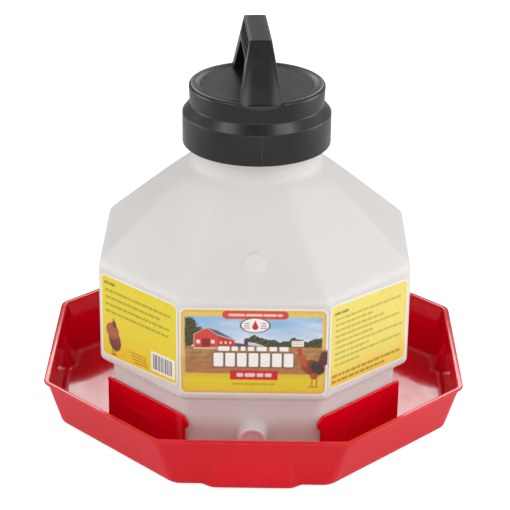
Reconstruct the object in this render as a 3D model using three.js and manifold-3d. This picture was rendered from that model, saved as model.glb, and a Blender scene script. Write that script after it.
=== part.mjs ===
// A three-gallon octagonal poultry fount: a drinking tray, a blow-moulded jug that stands in it, a screw cap
// with a moulded handle, its sealing ring, a stop plug for the outlet and three stickers.
// Millimetres, +Z up. The origin is the centre of the tray's underside, and -Y is the front.
import * as THREE from "three";
import { mergeVertices } from "three/addons/utils/BufferGeometryUtils.js";
import Module from "manifold-3d";

const wasm = await Module();
wasm.setup();

// ---------------------------------------------------------------- driving dimensions
// Each octagon has two apothems: "main" for the four faces square to X and Y, "diag" for the four between.

// Tray
const TRAY_HEIGHT = 50.5;
const TRAY_WALL = 2.6;
const TRAY_FLOOR = 3;
const TRAY_TOP = { main: 186.7, diag: 190.2, round: 12 }; // outside of the wall, just under the rim
const TRAY_BASE = { main: 175.3, diag: 172, round: 16 }; // outside of the wall, at the ground
const TRAY_EDGE = 5; // radius between the wall and the underside
const RIM_THICKNESS = 3;
const RIM_OUT = 2.8; // how far the rim flange stands out of the wall
const PAD_HALF_WIDTH = 31;
const PAD_SLOPE = 12; // each side of a foot pad slopes back to the wall over this width
const PAD_OUT = 6.7; // how far a pad stands out of the wall at the ground
const PAD_TOP = 43;
const PAD_EDGE = 1.5; // bevel along a pad's lower edge

// Bracket walls around the jug's foot
const BRACKET = { main: 134.2, diag: 135.3, round: 12 };
const BRACKET_WALL = 2.7;
const BRACKET_TOP = 43.5;
const BRACKET_END = 61; // half the gap between two free ends
const HOOK_REACH = 4; // how far a hook reaches into the gap
const HOOK_LOW = 31; // underside of a hook
const HOOK_ROUND = 11; // radius of a hook's top corner

// Jug
const JUG_WALL = 2.2;
const JUG_BOTTOM = TRAY_FLOOR + 0.3;
const FOOT = { main: 127.5, diag: 131.4, round: 12 };
const FOOT_TOP = 59.5;
const BODY = { main: 138.7, diag: 142.8, round: 9 };
const BODY_LOW = 74.5;
const SHOULDER_LOW = 160;
const SHOULDER_TOP = 234.5;
const SHOULDER_END = { main: 61.5, diag: 61.5, round: 26 };
const NECK_RADIUS = 58.9;
const NECK_TOP = 282.5;

// Thread: right-handed, one start
const PITCH = 8;
const THREAD_TURNS = 1.25;
const THREAD_START = 265.5; // height of the neck thread's lower end
const NECK_CREST = 62.3;
const CAP_CREST = 60.2;
const THREAD_BASE = 3.4; // axial width of a thread at its root
const THREAD_TIP = 1.7; // axial width of a thread at its crest

// Outlet spout at the front of the foot, and its plug
const SPOUT_HEIGHT = 25;
const SPOUT_BASE_RADIUS = 13.7;
const SPOUT_END_RADIUS = 12.2;
const SPOUT_FRONT = 138;
const SPOUT_BORE = 8;
const PLUG_SHAFT = 7.6;
const PLUG_HEAD_RADIUS = 11.7;
const PLUG_HEAD = 1.8;
const PLUG_LENGTH = 15;

// Round stud on the front shoulder, square to the sloped face
const STUD_RADIUS = 9.6;
const STUD_HEIGHT = 2.5;
const STUD_LEVEL = 183.5;

// Cap
const CAP_YAW = THREE.MathUtils.degToRad(4.4); // where the handle comes to rest when the cap is tight
const SKIRT_RADIUS = 66.5;
const SKIRT_BORE = 63.5;
const SKIRT_LOW = 254;
const CHAMFER_LOW = 282.5;
const CHAMFER_TOP = 290.5;
const CROWN_RADIUS = 59.9;
const CROWN_BORE = 56.8;
const BEAD_RADIUS = 61.4;
const BEAD_LOW = 303.5;
const CAP_TOP = 308.5;
const DISH_RADIUS = 53.5;
const DISH_DEPTH = 1.6;
const CAP_CEILING = 303.3;
const CAP_LEDGE = 285.7;
const GASKET = { inner: 54, outer: 62.8, low: NECK_TOP + 0.3, high: CAP_LEDGE - 0.3 };

// Handle, moulded on the cap: an arch along Y that narrows upwards
const HANDLE_TOP = 359;
const HANDLE_FOOT = 300.5;
const ARCH_HALF_TOP = 38.5;
const ARCH_HALF_FOOT = 62;
const OPENING_TOP = 339;
const OPENING_HALF_TOP = 30.5;
const OPENING_HALF_FOOT = 44;
const OPENING_ROUND = 7;
const POST_HALF_FOOT = 20;
const POST_HALF_TOP = 9.7;
const WEB_HALF = 2; // half the thickness of the web between the side pockets
const POCKET = { low: 342.5, high: 356, half: 36, bays: 7, rib: 1.6 };

// Stickers
const LABEL_THICKNESS = 0.3;
const LABEL_GAP = 0.3;
const LABEL_HIGH = 152.5;
const LABEL_FRONT = { low: 72, half: 60.5 };
const LABEL_SIDE = { low: 74, half: 48.5 };

const ARC_STEPS = 4; // segments in each rounded corner of an octagon
const ROUND_SEGMENTS = 60; // segments round the cap and the small round pieces

// ---------------------------------------------------------------- materials
const plastic = (color, roughness) =>
  new THREE.MeshStandardMaterial({ color, roughness, metalness: 0 });
const RED = plastic(0xc81e32, 0.3);
const MILKY = plastic(0xe4e2df, 0.45);
const BLACK = plastic(0x2b2829, 0.45);
const SOFT_GREY = plastic(0x8c8f92, 0.7);
const PRINT = plastic(0xe8d060, 0.4);

// ---------------------------------------------------------------- solids
// A closed geometry as a manifold solid.
function solid(geometry) {
  const bare = geometry.clone();
  bare.deleteAttribute("normal");
  bare.deleteAttribute("uv");
  const merged = mergeVertices(bare, 1e-4);
  const triangles = [];
  const index = merged.index.array;
  for (let i = 0; i < index.length; i += 3) {
    const [a, b, c] = index.slice(i, i + 3);
    if (a !== b && b !== c && c !== a) triangles.push(a, b, c);
  }
  return new wasm.Manifold(
    new wasm.Mesh({
      numProp: 3,
      vertProperties: new Float32Array(merged.attributes.position.array),
      triVerts: new Uint32Array(triangles),
    }),
  );
}

// A manifold solid as a named mesh.
function part(name, shape, material) {
  const { numProp, vertProperties, triVerts, numVert } = shape.getMesh();
  const positions = new Float32Array(numVert * 3);
  for (let i = 0; i < numVert; i++) {
    positions.set(vertProperties.subarray(i * numProp, i * numProp + 3), i * 3);
  }
  const geometry = new THREE.BufferGeometry();
  geometry.setAttribute("position", new THREE.BufferAttribute(positions, 3));
  geometry.setIndex(new THREE.BufferAttribute(new Uint32Array(triVerts), 1));
  geometry.computeVertexNormals();
  const mesh = new THREE.Mesh(geometry, material);
  mesh.name = name;
  return mesh;
}

// A skin over equal rings of points, closed by a flat cap at each end. Rings run anticlockwise seen from
// their last one, and each cap is a fan, so the end rings are convex.
function loft(rings) {
  const count = rings[0].length;
  const index = [];
  for (let r = 0; r < rings.length - 1; r++) {
    for (let i = 0; i < count; i++) {
      const a = r * count + i;
      const b = r * count + ((i + 1) % count);
      index.push(a, b, b + count, a, b + count, a + count);
    }
  }
  const last = (rings.length - 1) * count;
  for (let i = 1; i < count - 1; i++) {
    index.push(0, i + 1, i);
    index.push(last, last + i, last + i + 1);
  }
  const geometry = new THREE.BufferGeometry().setFromPoints(rings.flat());
  geometry.setIndex(index);
  return solid(geometry);
}

// The outline of an octagon with rounded corners, at height z.
function octagonRing({ main, diag, round }, z) {
  const points = [];
  const turn = Math.PI / 4;
  for (let i = 0; i < 8; i++) {
    const from = i * turn;
    const here = (i % 2 ? diag : main) - round;
    const next = (i % 2 ? main : diag) - round;
    const along = (next - here * Math.cos(turn)) / Math.sin(turn);
    const centre = new THREE.Vector2(here, along).rotateAround(new THREE.Vector2(), from);
    for (let k = 0; k <= ARC_STEPS; k++) {
      const angle = from + (turn * k) / ARC_STEPS;
      const x = centre.x + round * Math.cos(angle);
      const y = centre.y + round * Math.sin(angle);
      points.push(new THREE.Vector3(x, y, z));
    }
  }
  return points;
}

// The same octagon with every face moved out by a distance.
const grow = ({ main, diag, round }, by) => ({
  main: main + by,
  diag: diag + by,
  round: Math.max(round + by, 1),
});

// The octagon a fraction t of the way from one to another.
const between = (from, to, t) => ({
  main: THREE.MathUtils.lerp(from.main, to.main, t),
  diag: THREE.MathUtils.lerp(from.diag, to.diag, t),
  round: THREE.MathUtils.lerp(from.round, to.round, t),
});

// A flat outline extruded from z = 0 to a depth.
function extrude(points, depth) {
  const shape = points instanceof THREE.Shape ? points : new THREE.Shape(points);
  return solid(new THREE.ExtrudeGeometry(shape, { depth, bevelEnabled: false, curveSegments: 8 }));
}

// A solid placed by Euler angles, then moved.
function place(shape, [rx, ry, rz], [x, y, z]) {
  const matrix = new THREE.Matrix4().makeRotationFromEuler(new THREE.Euler(rx, ry, rz));
  matrix.setPosition(x, y, z);
  return shape.transform(matrix.elements);
}

const QUARTER = Math.PI / 2;

// A solid turned about Z.
const turned = (shape, angle) => place(shape, [0, 0, angle], [0, 0, 0]);

// A round solid about +Z from an outline of [radius, z] points that starts and ends on the axis or closes.
function lathe(outline) {
  const points = outline.map(([r, z]) => new THREE.Vector2(r, z));
  return solid(new THREE.LatheGeometry(points, ROUND_SEGMENTS).rotateX(QUARTER));
}

// A solid of revolution whose axis runs along -Y from a point; the outline's z counts forwards from it.
const spindle = (outline, height) => place(lathe(outline), [QUARTER, 0, 0], [0, 0, height]);

// ---------------------------------------------------------------- tray
// The outside of the tray's wall at a height, moved out by a distance.
const wallAt = (z, by = 0) => grow(between(TRAY_BASE, TRAY_TOP, z / TRAY_HEIGHT), by);

// The rounded bottom edge of a wall, then the straight wall up to a height.
function bowl(by, bottom, edge, top) {
  const rings = [];
  const steps = 3;
  for (let k = 0; k <= steps; k++) {
    const angle = (QUARTER * k) / steps;
    const z = bottom + edge * (1 - Math.cos(angle));
    const inset = edge * (1 - Math.sin(angle));
    rings.push(octagonRing(wallAt(z, by - inset), z));
  }
  rings.push(octagonRing(wallAt(top, by), top));
  return loft(rings);
}

// A foot pad on the front wall: it stands furthest out at the ground and fades into the wall at its top.
function pad(by, bottom) {
  const ring = (z, inset) => {
    const wall = -wallAt(z).main - by;
    const out = PAD_OUT * (1 - z / PAD_TOP);
    const half = PAD_HALF_WIDTH + by;
    const foot = half + (PAD_SLOPE * out) / PAD_OUT + 0.01;
    const root = wall + 0.6;
    const back = wall + 12;
    const face = wall - out + inset;
    const outline = [
      [-foot, root],
      [-half, face],
      [half, face],
      [foot, root],
      [foot, back],
      [-foot, back],
    ];
    return outline.map(([x, y]) => new THREE.Vector3(x, y, z));
  };
  return loft([ring(bottom, PAD_EDGE), ring(bottom + PAD_EDGE, 0), ring(PAD_TOP, 0)]);
}

// The wall that stands round the jug's foot, cut away at the middle of each main face so that four bracket
// walls with hooked ends are left.
function brackets() {
  const low = TRAY_FLOOR - 1;
  const outside = loft([octagonRing(BRACKET, low), octagonRing(BRACKET, BRACKET_TOP)]);
  const inner = grow(BRACKET, -BRACKET_WALL);
  const inside = loft([octagonRing(inner, low - 1), octagonRing(inner, BRACKET_TOP + 1)]);
  const tip = BRACKET_END - HOOK_REACH;
  const gap = new THREE.Shape();
  gap.moveTo(-BRACKET_END, low - 1);
  gap.lineTo(BRACKET_END, low - 1);
  gap.lineTo(BRACKET_END, HOOK_LOW);
  gap.lineTo(tip + 1, HOOK_LOW + 2);
  gap.lineTo(tip, HOOK_LOW + 4);
  gap.quadraticCurveTo(tip, BRACKET_TOP - 2, tip + HOOK_ROUND, BRACKET_TOP + 1);
  gap.lineTo(-tip - HOOK_ROUND, BRACKET_TOP + 1);
  gap.quadraticCurveTo(-tip, BRACKET_TOP - 2, -tip, HOOK_LOW + 4);
  gap.lineTo(-tip - 1, HOOK_LOW + 2);
  gap.lineTo(-BRACKET_END, HOOK_LOW);
  gap.closePath();
  const reach = BRACKET.main + 5;
  const window = place(extrude(gap, 2 * reach), [QUARTER, 0, 0], [0, reach, 0]);
  return outside.subtract(inside).subtract(window).subtract(turned(window, QUARTER));
}

function tray() {
  let outside = bowl(0, 0, TRAY_EDGE, TRAY_HEIGHT);
  let inside = bowl(-TRAY_WALL, TRAY_FLOOR, TRAY_EDGE - TRAY_WALL, TRAY_HEIGHT + 1);
  for (let turns = 0; turns < 4; turns++) {
    outside = outside.add(turned(pad(0, 0), turns * QUARTER));
    inside = inside.add(turned(pad(-TRAY_WALL, TRAY_FLOOR), turns * QUARTER));
  }
  const rimLow = TRAY_HEIGHT - RIM_THICKNESS;
  const rim = grow(TRAY_TOP, RIM_OUT);
  const edge = 0.8;
  const flange = loft([
    octagonRing(grow(rim, -edge), rimLow),
    octagonRing(rim, rimLow + edge),
    octagonRing(rim, TRAY_HEIGHT - edge),
    octagonRing(grow(rim, -edge), TRAY_HEIGHT),
  ]);
  return outside.add(flange).subtract(inside).add(brackets());
}

// ---------------------------------------------------------------- jug
// The jug's outline as [height, octagon] steps from its bottom to the top of its neck, moved in by a wall.
function jugRings(wall, top) {
  const neck = { main: NECK_RADIUS, diag: NECK_RADIUS, round: NECK_RADIUS };
  const slope = (z) => between(BODY, SHOULDER_END, (z - SHOULDER_LOW) / (SHOULDER_TOP - SHOULDER_LOW));
  const steps = [
    [JUG_BOTTOM + wall, grow(FOOT, -5)],
    [JUG_BOTTOM + wall + 1.5, grow(FOOT, -1.5)],
    [JUG_BOTTOM + wall + 5, FOOT],
    [FOOT_TOP - 1, FOOT],
    [FOOT_TOP + 1.6, between(FOOT, BODY, 0.2)],
    [BODY_LOW - 9.5, between(FOOT, BODY, 0.62)],
    [BODY_LOW - 5, between(FOOT, BODY, 0.9)],
    [BODY_LOW, BODY],
    [SHOULDER_LOW - 5, BODY],
    [SHOULDER_LOW - 1, grow(BODY, -1)],
    [SHOULDER_LOW + 3.5, slope(SHOULDER_LOW + 3.5)],
    [SHOULDER_TOP - 1, slope(SHOULDER_TOP - 1)],
    [SHOULDER_TOP + 3, grow(neck, 0.8)],
    [SHOULDER_TOP + 7, neck],
    [NECK_TOP - 1, neck],
    [top, wall ? neck : grow(neck, -1)],
  ];
  return steps.map(([z, outline]) => octagonRing(grow(outline, -wall), z));
}

// A helical thread that stands from a root radius to a crest radius; the height is its lower end's.
function thread(root, crest, height) {
  const steps = Math.round(THREAD_TURNS * 40);
  const rings = [];
  for (let i = 0; i <= steps; i++) {
    const angle = (2 * Math.PI * THREAD_TURNS * i) / steps;
    const z = height + PITCH * THREAD_TURNS * (i / steps);
    const fade = Math.min(1, (i + 0.5) / 3, (steps - i + 0.5) / 3);
    const tip = THREE.MathUtils.lerp(root, crest, fade);
    const section = [
      [root, z - THREAD_BASE / 2],
      [tip, z - THREAD_TIP / 2],
      [tip, z + THREAD_TIP / 2],
      [root, z + THREAD_BASE / 2],
    ];
    if (crest > root) section.reverse();
    rings.push(section.map(([r, h]) => new THREE.Vector3(r * Math.cos(angle), r * Math.sin(angle), h)));
  }
  return loft(rings);
}

function jug() {
  const spoutStart = FOOT.main - JUG_WALL / 2;
  const spout = spindle(
    [
      [0, spoutStart],
      [SPOUT_BASE_RADIUS, spoutStart],
      [SPOUT_BASE_RADIUS, FOOT.main + 1],
      [SPOUT_END_RADIUS + 0.6, SPOUT_FRONT - 0.8],
      [SPOUT_END_RADIUS, SPOUT_FRONT],
      [0, SPOUT_FRONT],
    ],
    SPOUT_HEIGHT,
  );
  const bore = spindle([[0, 110], [SPOUT_BORE, 110], [SPOUT_BORE, 150], [0, 150]], SPOUT_HEIGHT);
  const rise = SHOULDER_TOP - SHOULDER_LOW;
  const run = BODY.main - SHOULDER_END.main;
  const lean = Math.atan2(rise, run);
  const studOut = BODY.main - ((STUD_LEVEL - SHOULDER_LOW) * run) / rise;
  const studOutline = [
    [0, -JUG_WALL / 2],
    [STUD_RADIUS, -JUG_WALL / 2],
    [STUD_RADIUS, STUD_HEIGHT - 0.8],
    [STUD_RADIUS - 0.8, STUD_HEIGHT],
    [0, STUD_HEIGHT],
  ];
  const stud = place(lathe(studOutline), [lean, 0, 0], [0, -studOut, STUD_LEVEL]);
  return loft(jugRings(0, NECK_TOP))
    .add(thread(NECK_RADIUS - 1, NECK_CREST, THREAD_START))
    .add(spout)
    .add(stud)
    .subtract(loft(jugRings(JUG_WALL, NECK_TOP + 5)))
    .subtract(bore);
}

function stopPlug() {
  const face = SPOUT_FRONT + 0.3;
  const outline = [
    [0, face - PLUG_LENGTH],
    [PLUG_SHAFT - 0.8, face - PLUG_LENGTH],
    [PLUG_SHAFT, face - PLUG_LENGTH + 2],
    [PLUG_SHAFT, face],
    [PLUG_HEAD_RADIUS, face],
    [PLUG_HEAD_RADIUS, face + PLUG_HEAD - 0.6],
    [PLUG_HEAD_RADIUS - 0.6, face + PLUG_HEAD],
    [0, face + PLUG_HEAD],
  ];
  return spindle(outline, SPOUT_HEIGHT);
}

// ---------------------------------------------------------------- cap
function capShell() {
  return lathe([
    [0, CAP_CEILING],
    [CROWN_BORE, CAP_CEILING],
    [CROWN_BORE, CAP_LEDGE],
    [SKIRT_BORE, CAP_LEDGE],
    [SKIRT_BORE, SKIRT_LOW],
    [SKIRT_RADIUS - 0.8, SKIRT_LOW],
    [SKIRT_RADIUS, SKIRT_LOW + 0.8],
    [SKIRT_RADIUS, CHAMFER_LOW],
    [CROWN_RADIUS + 0.2, CHAMFER_TOP],
    [CROWN_RADIUS, BEAD_LOW],
    [BEAD_RADIUS, BEAD_LOW + 0.8],
    [BEAD_RADIUS, CAP_TOP - 1.8],
    [BEAD_RADIUS - 0.6, CAP_TOP - 0.5],
    [BEAD_RADIUS - 2, CAP_TOP],
    [DISH_RADIUS + 2, CAP_TOP],
    [DISH_RADIUS, CAP_TOP - DISH_DEPTH],
    [0, CAP_TOP - DISH_DEPTH],
  ]);
}

// The handle: its side outline cut to its front outline, then pocketed on both sides down to a ribbed web.
function handle() {
  const side = new THREE.Shape();
  side.moveTo(-ARCH_HALF_FOOT, HANDLE_FOOT);
  side.lineTo(ARCH_HALF_FOOT, HANDLE_FOOT);
  side.lineTo(ARCH_HALF_TOP + 1, HANDLE_TOP - 2);
  side.lineTo(ARCH_HALF_TOP - 1, HANDLE_TOP);
  side.lineTo(-ARCH_HALF_TOP + 1, HANDLE_TOP);
  side.lineTo(-ARCH_HALF_TOP - 1, HANDLE_TOP - 2);
  side.closePath();
  const opening = new THREE.Path();
  const top = OPENING_HALF_TOP;
  const bend = OPENING_TOP - OPENING_ROUND;
  opening.moveTo(-OPENING_HALF_FOOT, CAP_TOP - DISH_DEPTH);
  opening.lineTo(OPENING_HALF_FOOT, CAP_TOP - DISH_DEPTH);
  opening.lineTo(top + OPENING_ROUND / 2, bend);
  opening.quadraticCurveTo(top, OPENING_TOP, top - OPENING_ROUND, OPENING_TOP);
  opening.lineTo(OPENING_ROUND - top, OPENING_TOP);
  opening.quadraticCurveTo(-top, OPENING_TOP, -top - OPENING_ROUND / 2, bend);
  opening.closePath();
  side.holes.push(opening);
  const width = 2 * POST_HALF_FOOT;
  // The side outline is drawn in (Y, Z) and extruded along X.
  const along = new THREE.Matrix4().makeBasis(
    new THREE.Vector3(0, 1, 0),
    new THREE.Vector3(0, 0, 1),
    new THREE.Vector3(1, 0, 0),
  );
  along.setPosition(-width / 2, 0, 0);
  const arch = extrude(side, width).transform(along.elements);
  const front = [
    new THREE.Vector2(-POST_HALF_FOOT, HANDLE_FOOT - 1),
    new THREE.Vector2(POST_HALF_FOOT, HANDLE_FOOT - 1),
    new THREE.Vector2(POST_HALF_TOP, HANDLE_TOP),
    new THREE.Vector2(-POST_HALF_TOP, HANDLE_TOP),
  ];
  const slab = place(extrude(front, 2 * ARCH_HALF_FOOT + 4), [QUARTER, 0, 0], [0, ARCH_HALF_FOOT + 2, 0]);
  let shape = arch.intersect(slab);
  const bay = (2 * POCKET.half) / POCKET.bays;
  for (let i = 0; i < POCKET.bays; i++) {
    for (const sign of [-1, 1]) {
      const height = POCKET.high - POCKET.low;
      const box = new THREE.BoxGeometry(POST_HALF_FOOT, bay - POCKET.rib, height);
      const x = sign * (WEB_HALF + POST_HALF_FOOT / 2);
      const y = -POCKET.half + bay * (i + 0.5);
      shape = shape.subtract(place(solid(box), [0, 0, 0], [x, y, POCKET.low + height / 2]));
    }
  }
  const blank = [
    [0, HANDLE_FOOT],
    [BEAD_RADIUS, HANDLE_FOOT],
    [BEAD_RADIUS, HANDLE_TOP],
    [0, HANDLE_TOP],
  ];
  return shape.intersect(lathe(blank));
}

function cap() {
  const drop = PITCH / 2; // the cap's thread runs midway between two turns of the neck's
  const shape = capShell().add(handle());
  return turned(shape, CAP_YAW).add(thread(SKIRT_BORE + 1, CAP_CREST, THREAD_START - drop));
}

function capGasket() {
  const { inner, outer, low, high } = GASKET;
  return lathe([[inner, low], [outer, low], [outer, high], [inner, high], [inner, low]]);
}

// ---------------------------------------------------------------- stickers
// A sticker on the body face whose outward direction is an angle from +X.
function label(name, angle, apothem, { low, half }) {
  const height = LABEL_HIGH - low;
  const mesh = new THREE.Mesh(new THREE.BoxGeometry(LABEL_THICKNESS, 2 * half, height), PRINT);
  const out = apothem + LABEL_GAP + LABEL_THICKNESS / 2;
  mesh.name = name;
  mesh.rotation.z = angle;
  mesh.position.set(out * Math.cos(angle), out * Math.sin(angle), low + height / 2);
  return mesh;
}

// ---------------------------------------------------------------- assembly
const fount = new THREE.Group();
fount.add(
  part("tray", tray(), RED),
  part("jug", jug(), MILKY),
  part("stop_plug", stopPlug(), MILKY),
  part("cap", cap(), BLACK),
  part("cap_gasket", capGasket(), SOFT_GREY),
  label("label_front", -QUARTER, BODY.main, LABEL_FRONT),
  label("label_left", -1.5 * QUARTER, BODY.diag, LABEL_SIDE),
  label("label_right", -0.5 * QUARTER, BODY.diag, LABEL_SIDE),
);

export default fount;
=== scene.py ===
"""Looks of an octagonal poultry fount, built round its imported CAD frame. Metres; -Y is the front."""

import math
from contextlib import contextmanager

import bmesh
import bpy
import numpy as np
from mathutils import Matrix, Vector


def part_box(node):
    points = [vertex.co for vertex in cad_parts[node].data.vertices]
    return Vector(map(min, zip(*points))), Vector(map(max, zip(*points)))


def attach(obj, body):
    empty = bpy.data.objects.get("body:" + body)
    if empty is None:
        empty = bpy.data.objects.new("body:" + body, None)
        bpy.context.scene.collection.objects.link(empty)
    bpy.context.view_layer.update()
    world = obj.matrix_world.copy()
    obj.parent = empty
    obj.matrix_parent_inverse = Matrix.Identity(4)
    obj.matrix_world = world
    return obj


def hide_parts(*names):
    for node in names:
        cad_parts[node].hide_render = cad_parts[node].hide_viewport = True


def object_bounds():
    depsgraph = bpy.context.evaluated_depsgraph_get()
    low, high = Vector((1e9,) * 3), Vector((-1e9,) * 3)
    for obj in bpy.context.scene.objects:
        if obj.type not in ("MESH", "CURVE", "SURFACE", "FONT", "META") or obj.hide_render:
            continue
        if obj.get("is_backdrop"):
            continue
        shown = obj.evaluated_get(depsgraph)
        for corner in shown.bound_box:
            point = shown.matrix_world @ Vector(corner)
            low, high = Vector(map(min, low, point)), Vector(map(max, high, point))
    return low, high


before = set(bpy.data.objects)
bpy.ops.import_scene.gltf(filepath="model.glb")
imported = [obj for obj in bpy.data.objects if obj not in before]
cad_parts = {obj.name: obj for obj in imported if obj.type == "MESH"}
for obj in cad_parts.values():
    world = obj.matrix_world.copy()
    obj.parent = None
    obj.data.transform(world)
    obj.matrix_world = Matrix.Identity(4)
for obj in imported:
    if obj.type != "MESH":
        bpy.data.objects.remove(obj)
CAD_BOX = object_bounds()

MM = 0.001
QUARTER = math.pi / 2
EIGHTH = math.pi / 4

# -------- places read from the frame
TRAY_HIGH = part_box("tray")[1]
JUG_LOW, JUG_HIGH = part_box("jug")
CAP_LOW, CAP_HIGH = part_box("cap")
PLUG_LOW, PLUG_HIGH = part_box("stop_plug")
GASKET_LOW, GASKET_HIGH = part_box("cap_gasket")

# -------- proportions of the mouldings
RIM_OUT = 2.8 * MM  # how far the tray's flange stands out of its wall
TRAY_WALL = 2.6 * MM
TRAY_FLOOR = 3 * MM
TRAY_EDGE = 5 * MM
RIM_THICKNESS = 3 * MM
RIM_MAIN = TRAY_HIGH.x  # apothem of the flange's four main faces
# An octagon is a main apothem, a diagonal apothem and a corner radius.
TRAY_TOP = (RIM_MAIN - RIM_OUT, RIM_MAIN - RIM_OUT + 3.5 * MM, 12 * MM)
TRAY_BASE = (RIM_MAIN - 14.2 * MM, RIM_MAIN - 17.5 * MM, 16 * MM)
PAD_HALF = 31 * MM
PAD_SLOPE = 12 * MM
PAD_OUT = 6.7 * MM
PAD_TOP = 43 * MM

BRACKET_MAIN = 134.2 * MM
BRACKET_DIAG = 135.3 * MM
BRACKET_ROUND = 12 * MM
BRACKET_WALL = 2.7 * MM
BRACKET_TOP = 43.5 * MM
BRACKET_END = 61 * MM
HOOK_REACH = 4 * MM
HOOK_LOW = 31 * MM
BRACKET_FLARE = 1.4 * MM  # how far a bracket wall spreads where it meets the floor
BRACKET_FLARE_TOP = 3.2 * MM

JUG_WALL = 2.2 * MM
BODY_MAIN = JUG_HIGH.x
BODY = (BODY_MAIN, BODY_MAIN + 4.1 * MM, 8 * MM)
FOOT = (BODY_MAIN - 11.2 * MM, BODY_MAIN - 7.3 * MM, 11 * MM)
NECK_RADIUS = 58.9 * MM
NECK = (NECK_RADIUS, NECK_RADIUS, 24 * MM)
NECK_TOP = JUG_HIGH.z
FOOT_TOP = 59.5 * MM
BODY_LOW = 74.5 * MM
SHOULDER_LOW = 160 * MM
SHOULDER_TOP = 234.5 * MM
SHOULDER_END = (61.5 * MM, 61.5 * MM, 24 * MM)
STUD_LEVEL = 183.5 * MM
STUD_RADIUS = 9.6 * MM
STUD_HEIGHT = 3.4 * MM

SPOUT_HEIGHT = (PLUG_LOW.z + PLUG_HIGH.z) / 2
SPOUT_FRONT = 138 * MM
SPOUT_BASE_RADIUS = 13.7 * MM
SPOUT_END_RADIUS = 12.2 * MM
SPOUT_BORE = 8 * MM
BORE_BACK = 110 * MM
BORE_FRONT = 150 * MM
PLUG_SHAFT = 7.6 * MM
PLUG_RADIUS = PLUG_HIGH.x
PLUG_FRONT = -PLUG_LOW.y
PLUG_BACK = -PLUG_HIGH.y

PITCH = 8 * MM
THREAD_TURNS = 1.25
THREAD_START = 265.5 * MM
NECK_CREST = 62.3 * MM
CAP_CREST = 60.2 * MM
THREAD_BASE = 3.4 * MM
THREAD_TIP = 1.7 * MM

CAP_YAW = math.radians(4.4)
SKIRT_RADIUS = CAP_HIGH.x
SKIRT_BORE = SKIRT_RADIUS - 3 * MM
SKIRT_LOW = CAP_LOW.z
CHAMFER_LOW = SKIRT_LOW + 28.5 * MM
CHAMFER_TOP = SKIRT_LOW + 36.5 * MM
CROWN_RADIUS = SKIRT_RADIUS - 6.6 * MM
CROWN_BORE = SKIRT_RADIUS - 9.7 * MM
CAP_TOP = SKIRT_LOW + 54.5 * MM
DISH_RADIUS = 53.5 * MM
DISH_DEPTH = 1.6 * MM
CAP_CEILING = CAP_TOP - 5.2 * MM
CAP_LEDGE = SKIRT_LOW + 31.7 * MM

HANDLE_TOP = CAP_HIGH.z
HANDLE_FOOT = CAP_TOP - 12 * MM
ARCH_TOP = 38.5 * MM
ARCH_FOOT = 62 * MM
ARCH_FOOT_LEVEL = CAP_TOP - 8 * MM
OPENING_TOP = CAP_TOP + 30.5 * MM
OPENING_HALF = 30.5 * MM
POST_FOOT = 20 * MM
POST_TOP = 9.7 * MM
POST_CURVE = CAP_TOP - 4 * MM  # where the posts' feet curve in towards the crown
POCKET_BAYS = 7
POCKET_REACH = 36 * MM
POCKET_RIB = 1.6 * MM
WEB_HALF = 2 * MM


# -------- mesh helpers
def link(name, data):
    """An object made of some data and put in the scene."""
    obj = bpy.data.objects.new(name, data)
    bpy.context.scene.collection.objects.link(obj)
    return obj


@contextmanager
def edited(obj):
    """An object's mesh, open for editing and written back at the end."""
    bm = bmesh.new()
    bm.from_mesh(obj.data)
    yield bm
    bm.to_mesh(obj.data)
    bm.free()


def cut(bm, axis, places):
    """New edges round a mesh where planes square to an axis cross it."""
    direction = Vector([float(k == axis) for k in range(3)])
    for place in places:
        geometry = bm.verts[:] + bm.edges[:] + bm.faces[:]
        bmesh.ops.bisect_plane(bm, geom=geometry, plane_co=direction * place, plane_no=direction)


def new_object(name, verts, faces, sharp=35):
    """A mesh object whose edges are smooth where its faces meet at less than an angle in degrees."""
    mesh = bpy.data.meshes.new(name)
    mesh.from_pydata([tuple(v) for v in verts], [], [tuple(f) for f in faces])
    mesh.validate()
    return tidy(link(name, mesh), sharp)


def tidy(obj, sharp=35):
    """Merges doubled points, turns the faces outwards and smooths all but the sharp edges."""
    with edited(obj) as bm:
        bmesh.ops.remove_doubles(bm, verts=bm.verts, dist=1e-6)
        bmesh.ops.dissolve_degenerate(bm, edges=bm.edges, dist=1e-7)
        bmesh.ops.recalc_face_normals(bm, faces=bm.faces)
    obj.data.shade_smooth()
    obj.data.set_sharp_from_angle(angle=math.radians(sharp))
    return obj


def loft(name, rings, closed=False, sharp=35):
    """A skin over equal rings of points, closed at both ends by a fan to its centre, or round on itself."""
    rings = np.asarray(rings, float)
    count, size = rings.shape[:2]
    verts = rings.reshape(-1, 3).tolist()
    faces = []
    for r in range(count if closed else count - 1):
        here, there = r * size, ((r + 1) % count) * size
        for i in range(size):
            j = (i + 1) % size
            faces.append((here + i, here + j, there + j, there + i))
    if not closed:
        for end in (0, count - 1):
            verts.append(rings[end].mean(axis=0).tolist())
            centre = len(verts) - 1
            for i in range(size):
                faces.append((end * size + i, end * size + (i + 1) % size, centre))
    return new_object(name, verts, faces, sharp)


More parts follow.
